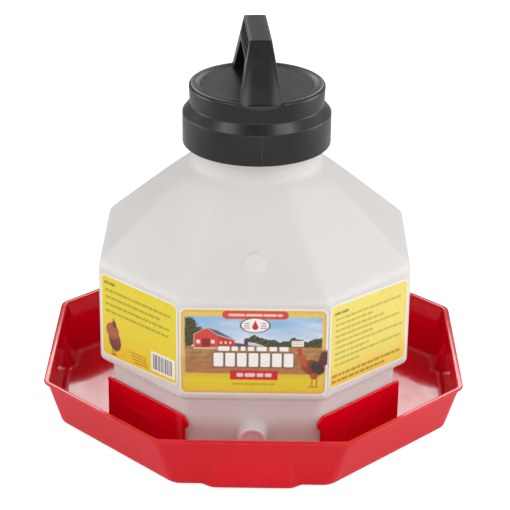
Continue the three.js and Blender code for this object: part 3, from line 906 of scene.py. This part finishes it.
def print_front(u, v, half, half_high):
    """A farm picture in a stitched yellow frame, with plain bars and blocks where words would be."""
    art = Print(u, v)
    frame_field = art.box(0, 0, half, half_high, 5)
    warm = -0.3 - frame_field / 6 - 0.3 * v / half_high + noise(u, v, 60, 3) * 0.1
    art.lay(frame_field, shade(AMBER, YELLOW, warm))
    art.lay(np.abs(frame_field + 0.6) - 0.5, TAN, strength=0.5)
    stitch = np.abs(frame_field + 1.9) - 0.3
    dash = np.abs(((np.where(np.abs(u) > half - 3.5, v, u)) % 2.8) - 1.4) - 0.8
    art.lay(np.maximum(stitch, dash), TAN, strength=0.75)
    picture_low, picture_high = -20.8, 34.0
    middle = (picture_low + picture_high) / 2
    window = art.box(0, middle, 59.0, (picture_high - picture_low) / 2, 2)

    def paint(distance, ink, **how):
        art.lay(np.maximum(distance, window), ink, **how)

    cloud = noise(u * 0.6, v * 1.6, 26, 11) * 0.5
    sky = shade((214, 226, 238), (150, 190, 226), (v - 8) / 26 - cloud)
    art.lay(window, sky)
    horizon = 5.2
    trees = horizon + 6.0 + 2.4 * noise(u, 0 * u, 13, 21) + 5.5 * np.exp(-(((u - 3) / 9) ** 2))
    trees = np.where(u > -8, trees + (u - 20) * 0.04, horizon + 2)
    leaf = shade((44, 48, 34), (104, 98, 66), 0.5 + 0.5 * noise(u, v, 3.4, 31))
    paint(np.maximum(v - trees, -40 - u), leaf, soft=0.5)
    for x, y, wide, high in ((-57, 24, 8.5, 9), (-52, 15, 9, 9), (-60, 12, 8, 10), (-47.5, 19, 4.5, 5)):
        edge = 1.2 * noise(u, v, 4, 41)
        paint(art.oval(x, y, wide, high) + edge, leaf, soft=0.6)
    field = shade(SOIL, (196, 150, 92), 0.5 + 0.45 * noise(u * 0.35, v, 5, 51))
    paint(v - horizon - 0.3 * noise(u, v, 20, 52), field, soft=0.4)
    glow = shade(SOIL, (206, 112, 66), (picture_low + 13 - v) / 14)
    paint(v - picture_low - 12, glow, soft=6, strength=0.6)
    shed_roof = [(-16, 13.5), (-4, 7.2), (9, 5.4), (-2, 5.2), (-16, 5.6)]
    paint(art.hull(shed_roof[::-1]), (88, 84, 92))
    paint(art.hull([(-5, 9.6), (-4.6, 6.6), (8, 5.0), (9, 6.0), (1, 9.0)]), (206, 208, 214))
    barn_walls(art, paint)
    capsule = art.box(1.4, 35.4, 28.4, 3.9, 3.9)
    art.lay(capsule, ORANGE_RED)
    art.line_of_words(-21.5, 24.5, 35.3, 2.2, (250, 214, 206), 5, word=(6, 16), strength=0.9)
    badge = art.oval(1.3, 25.6, 13.2, 7.2)
    art.lay(badge, MAROON)
    art.lay(badge + 0.75, WHITE)
    drop = np.minimum(art.oval(1.3, 24.0, 2.7, 2.7), art.hull([(-1.0, 25.0), (3.6, 25.0), (1.3, 30.4)]))
    art.lay(drop, RED_INK)
    for side in (-1, 1):
        for row in range(3):
            bar = art.box(1.3 + side * 7.2, 23.0 + row * 2.2, 2.6 - 0.3 * row, 0.45)
            art.lay(bar, MAROON, strength=0.8)
    art.lay(art.box(38.0, 8.6, 5.2, 2.7, 0.8), WHITE)
    art.line_of_words(33.6, 42.6, 9.7, 1.0, TAN, 6, word=(1, 3))
    art.line_of_words(33.6, 42.6, 7.7, 1.0, TAN, 7, word=(1, 3))
    starts = (-30.4, -18.9, -11.0, -4.8, 2.6, 13.8, 22.4)
    ends = (-20.6, -13.4, -7.0, 0.6, 11.4, 20.2, 30.2)
    for x0, x1 in zip(starts, ends):
        bar = art.box((x0 + x1) / 2, 3.1, (x1 - x0) / 2, 2.1, 0.8)
        art.lay(bar - 0.45, (92, 70, 50), soft=0.6, strength=0.7)
        art.lay(bar, WHITE)
    title_blocks(art)
    banner = art.box(0.6, -22.3, 20.6, 4.5, 0.3)
    art.lay(banner, RED_INK)
    art.line_of_words(-14.4, 15.8, -22.2, 3.6, (250, 226, 222), 8, word=(4, 9))
    art.line_of_words(-17.6, 18.4, -31.0, 1.6, OLIVE, 9, word=(4, 9), strength=0.7)
    hen(art, 51.5, -14.5)
    return art.ink


def barn_walls(art, paint):
    """A red barn with a dark roof, seen from one corner."""
    low = 4.4
    side_wall = [(-31.5, low), (-16.2, low + 1.6), (-16.2, 11.0), (-31.5, 16.0)]
    gable = [(-51.0, low - 0.6), (-31.5, low), (-31.5, 16.4), (-40.4, 22.4), (-51.0, 16.6)]
    roof = [(-31.2, 16.6), (-15.6, 11.4), (-31.6, 20.6), (-40.4, 22.9)]
    paint(art.hull(gable) - 0.5, (236, 214, 206), strength=0.8)
    paint(art.hull(gable), shade((198, 54, 44), (226, 84, 66), 0.5 + v_stripes(art.u, 1.1)))
    paint(art.hull(side_wall), shade((186, 48, 40), (214, 74, 58), 0.5 + v_stripes(art.u, 0.9)))
    paint(art.hull(roof), (92, 98, 122))
    paint(art.box(-41, 8.4, 3.6, 4.2), (150, 34, 32))
    for x in (-47.5, -35.0):
        paint(art.box(x, 9.6, 1.5, 1.7), (238, 226, 220))
    for x in (-28, -24, -20):
        paint(art.box(x, 8.8, 0.9, 1.1), (240, 206, 196))
    paint(art.box(-37, low - 1.5, 14.5, 0.35), RAIL, strength=0.8)
    for k in range(8):
        paint(art.box(-51 + k * 4, low - 1.4, 0.3, 1.0), RAIL, strength=0.8)


def v_stripes(u, pitch):
    return 0.25 * np.sin(2 * math.pi * u / pitch / 2)


def title_blocks(art):
    """The row of white blocks in the place of a title."""
    edges = np.linspace(-35.2, 35.4, 8)
    blocks = [art.box((x0 + x1) / 2, -7.6, (x1 - x0) / 2 - 0.9, 6.6, 1.2) for x0, x1 in zip(edges, edges[1:])]
    for block in blocks:
        art.lay(block - 0.9, DARK, soft=0.8, strength=0.7)
    for block in blocks:
        art.lay(block, WHITE)


def hen(art, x, y):
    """A standing bird of no special breed, facing left."""
    plume = shade((74, 44, 42), (120, 66, 56), 0.5 + 0.5 * noise(art.u, art.v, 3, 61))
    for k in range(5):
        tilt = 1.25 - k * 0.14
        length = 8.5 - abs(k - 1.5) * 0.8
        cx = x + 5.6 + k * 0.5 + length * math.cos(tilt) * 0.8
        cy = y + 5 - k * 0.8 + length * math.sin(tilt) * 0.8
        art.lay(art.oval(cx, cy, length, 1.9, tilt), plume, soft=0.4)
    body = shade((158, 72, 42), (84, 48, 42), (art.u - x + 9) / 16 + 0.4 * noise(art.u, art.v, 2.2, 62))
    art.lay(art.oval(x, y, 10.5, 7.2, -0.28), body, soft=0.4)
    neck = shade((196, 92, 44), (150, 66, 40), noise(art.u, art.v, 1.8, 63))
    art.lay(art.oval(x - 8.5, y + 7.2, 6.4, 3.1, 1.9), neck)
    wing = shade((58, 50, 50), (110, 72, 62), noise(art.u, art.v, 1.6, 64))
    art.lay(art.oval(x + 3.5, y + 0.2, 6.2, 3.8, -0.5), wing)
    art.lay(art.oval(x - 11.8, y + 14.2, 2.3, 2.6), (190, 70, 50))
    for k in range(3):
        art.lay(art.oval(x - 13.0 + k * 1.2, y + 17.0, 0.9, 1.5), COMB)
    art.lay(art.oval(x - 13.4, y + 11.4, 0.9, 1.6), COMB)
    art.lay(art.hull([(x - 13.6, y + 15.0), (x - 16.0, y + 13.9), (x - 13.6, y + 13.4)]), (226, 180, 84))
    art.lay(art.oval(x + 1, y - 8.2, 3.4, 3.2), (168, 82, 50))
    for foot in (-0.6, 3.4):
        art.lay(art.box(x + foot, y - 13.6, 0.5, 5.0), (196, 112, 60))
        art.lay(art.box(x + foot - 1.1, y - 18.5, 2.2, 0.5), (196, 100, 60))


def print_left(u, v, half, half_high):
    """Lines of small print, a small bird and a pattern of upright bars."""
    art = Print(u, v)
    glow = np.clip((-v - 12) / 34, 0, 1) * np.clip(1.0 - np.abs(u + 20) / 60, 0, 1)
    ground = shade(YELLOW, (238, 190, 56), glow + 0.1 * noise(u, v, 50, 71))
    art.lay(art.box(0, 0, half, half_high, 4.5), ground)
    art.line_of_words(-45.8, -30.5, half_high * 0.84, 2.8, (124, 112, 20), 12, word=(5, 8))
    for k, end in enumerate((41.6, 28.0, 40.0, 40.0)):
        level = half_high * (0.66 - 0.175 * k)
        art.line_of_words(-44.6, end, level, 2.3, OLIVE, 20 + k, word=(3, 9))
    quail(art, -35.0, -17.5)
    for k, end in enumerate((9.0, 11.0, 12.0, 12.0)):
        level = half_high * (-0.68 - 0.075 * k)
        art.line_of_words(-12.5 + 2 * k, end, level, 1.4, (176, 112, 34), 30 + k, word=(3, 6))
    block = art.box(31.4, -half_high * 0.66, 15.4, 9.6, 0.8)
    art.lay(block, PAPER)
    random = np.random.default_rng(40)
    x = 18.6
    while x < 43.5:
        wide = random.uniform(0.4, 1.4)
        art.lay(art.box(x + wide / 2, -half_high * 0.66, wide / 2, 7.4), (60, 54, 84))
        x += wide + random.uniform(0.5, 1.2)
    return art.ink


def quail(art, x, y):
    """A small round bird of no special breed."""
    feather = shade((150, 84, 56), (110, 60, 54), (y + 6 - art.v) / 14 + 0.5 * noise(art.u, art.v, 1.8, 81))
    art.lay(art.oval(x + 2.2, y - 3.8, 8.2, 10.6, 0.3), feather, soft=0.4)
    breast = shade((176, 96, 66), (146, 76, 56), noise(art.u, art.v, 2, 82))
    art.lay(art.oval(x - 0.6, y + 4.6, 8.6, 7.8), breast, soft=0.4)
    art.lay(art.oval(x + 1.8, y + 11.5, 2.8, 3.6), (120, 56, 44))
    art.lay(art.oval(x + 1.0, y + 15.4, 0.7, 2.0, 0.2), (92, 44, 38))
    for foot in (-1.4, 2.0):
        art.lay(art.box(x + foot, y - 15.6, 0.5, 3.0), (120, 86, 40))
        art.lay(art.box(x + foot + 0.9, y - 18.4, 2.0, 0.5), (96, 70, 34))


def print_right(u, v, half, half_high):
    """Lines of small print in a paler panel."""
    art = Print(u, v)
    glow = np.clip((-v - 14) / 32, 0, 1)
    ground = shade((235, 220, 112), (234, 200, 74), glow + 0.1 * noise(u, v, 50, 91))
    art.lay(art.box(0, 0, half, half_high, 4.5), ground)
    art.line_of_words(-45.0, -24.0, half_high * 0.80, 2.6, (134, 120, 34), 50, word=(5, 9))
    for k, end in enumerate((42.0, 4.0, 20.0, 40.0, 6.0, 44.0, 0.0, 43.0, -12.0)):
        level = half_high * (0.655 - 0.142 * k)
        art.line_of_words(-43.5, end, level, 2.1, RIGHT_INK, 60 + k, word=(2, 8))
    for k, end in enumerate((42.0, 22.0)):
        level = half_high * (-0.745 - 0.14 * k)
        art.line_of_words(-46.5, end, level, 2.7, (166, 124, 30), 80 + k, word=(3, 9))
    return art.ink


# -------- materials
def node(tree, kind, inputs=None, **settings):
    """A shader node with its settings, and its inputs given as values or as sockets to link from."""
    made = tree.nodes.new("ShaderNode" + kind)
    for key, value in settings.items():
        setattr(made, key, value)
    for key, value in (inputs or {}).items():
        if isinstance(value, bpy.types.NodeSocket):
            tree.links.new(value, made.inputs[key])
        else:
            made.inputs[key].default_value = value
    return made


def colour(*channels):
    return (*srgb(*channels), 1.0)


def start_material(name):
    material = bpy.data.materials.new(name)
    material.use_nodes = True
    tree = material.node_tree
    place = node(tree, "TexCoord").outputs["Object"]
    return material, tree, tree.nodes["Principled BSDF"], place


def connect(tree, shader, **inputs):
    for key, value in inputs.items():
        socket = shader.inputs[key.replace("_", " ")]
        if isinstance(value, bpy.types.NodeSocket):
            tree.links.new(value, socket)
        else:
            socket.default_value = value


def ranged(tree, value, start, end, low, high):
    """A value that runs from start to end, turned into one that runs from low to high."""
    ends = {"Value": value, "From Min": start, "From Max": end, "To Min": low, "To Max": high}
    return node(tree, "MapRange", ends).outputs["Result"]


def spread(tree, place, scale, low, high, detail=3.0, stretch=(1, 1, 1)):
    """A noise field, scaled to run between two values."""
    stretched = node(tree, "Mapping", {"Vector": place, "Scale": stretch}).outputs[0]
    field = node(tree, "TexNoise", {"Vector": stretched, "Scale": scale, "Detail": detail}).outputs["Fac"]
    return ranged(tree, field, 0.3, 0.7, low, high)


def two_tone(tree, share, first, second):
    return node(tree, "Mix", {0: share, 6: first, 7: second}, data_type="RGBA").outputs[2]


def calculate(tree, operation, first, second=0.0):
    return node(tree, "Math", {0: first, 1: second}, operation=operation).outputs[0]


def grain(tree, place, layers):
    """Bump from (scale, height) layers of noise, finest last."""
    normal = None
    for scale, height in layers:
        field = node(tree, "TexNoise", {"Vector": place, "Scale": scale, "Detail": 2.0}).outputs["Fac"]
        inputs = {"Height": field, "Distance": height, "Strength": 1.0}
        if normal is not None:
            inputs["Normal"] = normal
        normal = node(tree, "Bump", inputs).outputs["Normal"]
    return normal


def sharp_edge_share(tree):
    """0 on open surfaces and 1 on sharp raised edges."""
    point = node(tree, "NewGeometry").outputs["Pointiness"]
    return ranged(tree, point, 0.53, 0.62, 0.0, 1.0)


def red_plastic():
    material, tree, shader, place = start_material("glossy red polypropylene")
    cloudy = spread(tree, place, 9, 0.0, 1.0)
    base = two_tone(tree, cloudy, colour(215, 0, 25), colour(221, 0, 29))
    # Sharp raised edges are blended towards a pale pink.
    pale_edge_share = calculate(tree, "MULTIPLY", sharp_edge_share(tree), 0.12)
    base = two_tone(tree, pale_edge_share, base, colour(236, 120, 126))
    scuffs = spread(tree, place, 120, 0.0, 0.05, detail=5, stretch=(1, 1, 0.25))
    rough = calculate(tree, "ADD", spread(tree, place, 24, 0.06, 0.10), scuffs)
    normal = grain(tree, place, ((60, 0.00002), (900, 0.000004)))
    connect(tree, shader, Base_Color=base, Roughness=rough, Normal=normal, IOR=1.45)
    connect(tree, shader, Subsurface_Weight=0.04, Subsurface_Scale=0.002, Subsurface_Radius=(1.0, 0.1, 0.1))
    return material


def milky_plastic():
    """Thin milky polyethylene: part of the light passes through the wall."""
    material, tree, shader, place = start_material("milky polyethylene")
    cloudy = spread(tree, place, 14, 0.0, 1.0, stretch=(1, 1, 0.5))
    base = two_tone(tree, cloudy, colour(249, 247, 245), colour(252, 250, 249))
    rough = spread(tree, place, 40, 0.36, 0.46)
    normal = grain(tree, place, ((45, 0.00005), (1400, 0.000006)))
    connect(tree, shader, Base_Color=base, Roughness=rough, Normal=normal, IOR=1.5)
    connect(tree, shader, Subsurface_Weight=0.15, Subsurface_Scale=0.004, Subsurface_Radius=(1.0, 0.9, 0.8))
    through = node(tree, "BsdfTranslucent", {"Color": colour(253, 252, 250), "Normal": normal}).outputs[0]
    share = spread(tree, place, 18, 0.45, 0.51)
    both = node(tree, "MixShader", {0: share, 1: shader.outputs[0], 2: through}).outputs[0]
    tree.links.new(both, tree.nodes["Material Output"].inputs["Surface"])
    return material


def black_plastic():
    material, tree, shader, place = start_material("satin black polypropylene")
    cloudy = spread(tree, place, 30, 0.0, 1.0)
    base = two_tone(tree, cloudy, colour(18, 14, 14), colour(22, 17, 16))
    # Sharp raised edges are blended towards a pale grey.
    pale_edge_share = calculate(tree, "MULTIPLY", sharp_edge_share(tree), 0.25)
    base = two_tone(tree, pale_edge_share, base, colour(96, 92, 94))
    rough = spread(tree, place, 90, 0.27, 0.35)
    normal = grain(tree, place, ((500, 0.000005),))
    connect(tree, shader, Base_Color=base, Roughness=rough, Normal=normal, IOR=1.5)
    return material


def soft_plastic(name, first, second, roughness):
    """Plain moulded plastic or rubber between two colours."""
    material, tree, shader, place = start_material(name)
    base = two_tone(tree, spread(tree, place, 60, 0.0, 1.0), colour(*first), colour(*second))
    rough = spread(tree, place, 200, roughness - 0.05, roughness + 0.05)
    connect(tree, shader, Base_Color=base, Roughness=rough, Normal=grain(tree, place, ((900, 0.00001),)))
    return material


def printed_film():
    material, tree, shader, place = start_material("printed film")
    ink = node(tree, "VertexColor", layer_name="art").outputs["Color"]
    rough = spread(tree, place, 150, 0.26, 0.36)
    connect(tree, shader, Base_Color=ink, Roughness=rough, Normal=grain(tree, place, ((90, 0.00002),)))
    return material


# -------- assembly
def fit(obj, body, slot, material, *replaced):
    """Gives a piece its material and body, and hides the CAD nodes it stands for; the slot is not used."""
    obj.data.materials.clear()
    obj.data.materials.append(material)
    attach(obj, body)
    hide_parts(*replaced)


milky = milky_plastic()
film = printed_film()
fit(make_tray(), "tray", "tray_plastic", red_plastic(), "tray")
fit(make_jug(), "jug", "jug_plastic", milky, "jug")
spout_plastic = soft_plastic("plug polyethylene", (244, 238, 236), (248, 243, 241), 0.4)
fit(make_plug(), "plug", "plug_plastic", spout_plastic, "stop_plug")
fit(make_cap(), "cap", "cap_plastic", black_plastic(), "cap")
rubber = soft_plastic("grey rubber", (128, 130, 132), (144, 146, 148), 0.7)
fit(make_gasket(), "seal", "seal", rubber, "cap_gasket")
for label_side, label_print in (("front", print_front), ("left", print_left), ("right", print_right)):
    fit(make_label(label_side, label_print), "jug", "sticker", film, "label_" + label_side)


# -------- stage
FLOOR_HALF = 8.0
FLOOR_LEVEL = -0.4 * MM  # just clear of the tray's underside
LENS = 134.5  # focal length in millimetres
CAMERA_TARGET = Vector((-0.0002, 0, 0.1410))
CAMERA_DISTANCE = 1.7539
CAMERA_ELEVATION = math.radians(24.11)
CAMERA_AZIMUTH = math.radians(-0.22)
CAMERA_ROLL = math.radians(0.68)
LIT_POINT = (0, 0, 0.15)


def make_floor():
    corners = [(x * FLOOR_HALF, y * FLOOR_HALF, FLOOR_LEVEL) for x, y in ((-1, -1), (1, -1), (1, 1), (-1, 1))]
    mesh = bpy.data.meshes.new("studio_floor")
    mesh.from_pydata(corners, [], [range(4)])
    floor = link("studio_floor", mesh)
    material, tree, shader, _ = start_material("studio paper")
    seen = node(tree, "LightPath").outputs["Is Camera Ray"]
    glow = calculate(tree, "MULTIPLY", seen, 0.75)
    connect(tree, shader, Base_Color=(0.76, 0.76, 0.76, 1), Roughness=0.9, Specular_IOR_Level=0.0)
    connect(tree, shader, Emission_Color=(1, 1, 1, 1), Emission_Strength=glow)
    floor.data.materials.append(material)
    floor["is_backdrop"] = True


def look_at(obj, place, target, roll=0.0):
    direction = Vector(target) - Vector(place)
    turn = direction.to_track_quat("-Z", "Y").to_matrix().to_4x4()
    obj.matrix_world = Matrix.Translation(place) @ turn @ Matrix.Rotation(roll, 4, "Z")


def panel(name, place, size, radiance):
    """A soft rectangular light of a brightness, unseen by the camera itself."""
    light = bpy.data.lights.new(name, "AREA")
    light.shape = "RECTANGLE"
    light.size, light.size_y = size
    light.energy = radiance * math.pi * size[0] * size[1]
    obj = link(name, light)
    look_at(obj, place, LIT_POINT)
    obj.visible_camera = False


def make_camera():
    data = bpy.data.cameras.new("camera")
    data.sensor_width = 36
    data.lens = LENS
    camera = link("camera", data)
    back = Vector((-math.sin(CAMERA_AZIMUTH), -math.cos(CAMERA_AZIMUTH), 0)) * math.cos(CAMERA_ELEVATION)
    place = CAMERA_TARGET + (back + Vector((0, 0, math.sin(CAMERA_ELEVATION)))) * CAMERA_DISTANCE
    look_at(camera, place, CAMERA_TARGET, roll=CAMERA_ROLL)
    bpy.context.scene.camera = camera


def light_studio():
    """A white tent, brightest at its sides, with seven soft panels."""
    world = bpy.data.worlds.new("studio")
    bpy.context.scene.world = world
    world.use_nodes = True
    tree = world.node_tree
    direction = node(tree, "TexCoord").outputs["Generated"]
    x, _, z = node(tree, "SeparateXYZ", {0: direction}).outputs
    sides = calculate(tree, "MULTIPLY", calculate(tree, "MULTIPLY", x, x), 0.5)
    lean = calculate(tree, "MULTIPLY", x, 0.08)
    above = calculate(tree, "MULTIPLY", calculate(tree, "MAXIMUM", z, 0.0), 0.1)
    total = 0.25
    for share in (sides, lean, above):
        total = calculate(tree, "ADD", share, total)
    seen = node(tree, "LightPath").outputs["Is Camera Ray"]
    total = calculate(tree, "MAXIMUM", total, seen)
    background = tree.nodes["Background"]
    background.inputs["Color"].default_value = (1, 1, 1, 1)
    tree.links.new(total, background.inputs["Strength"])
    for side, high, level, far in ((-1, 3.7, 3.4, 6.0), (1, 4.2, 4.2, 6.0)):
        panel("high", (side * 1.15, -0.8, 1.6), (0.8, 0.7), high)
        panel("level", (side * 1.9, 0.3, 0.45), (1.2, 0.9), level)
        panel("far", (side * 0.48, 2.2, 1.35), (0.55, 0.34), far)
    panel("front", (0, -2.2, 0.55), (2.6, 0.6), 3.3)


make_floor()
make_camera()
light_studio()
bpy.context.scene.view_settings.view_transform = "Standard"

VISUAL_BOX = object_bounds()
boxes = {"cad": CAD_BOX, "visual": VISUAL_BOX}
{key: [list(corner) for corner in box] for key, box in boxes.items()}
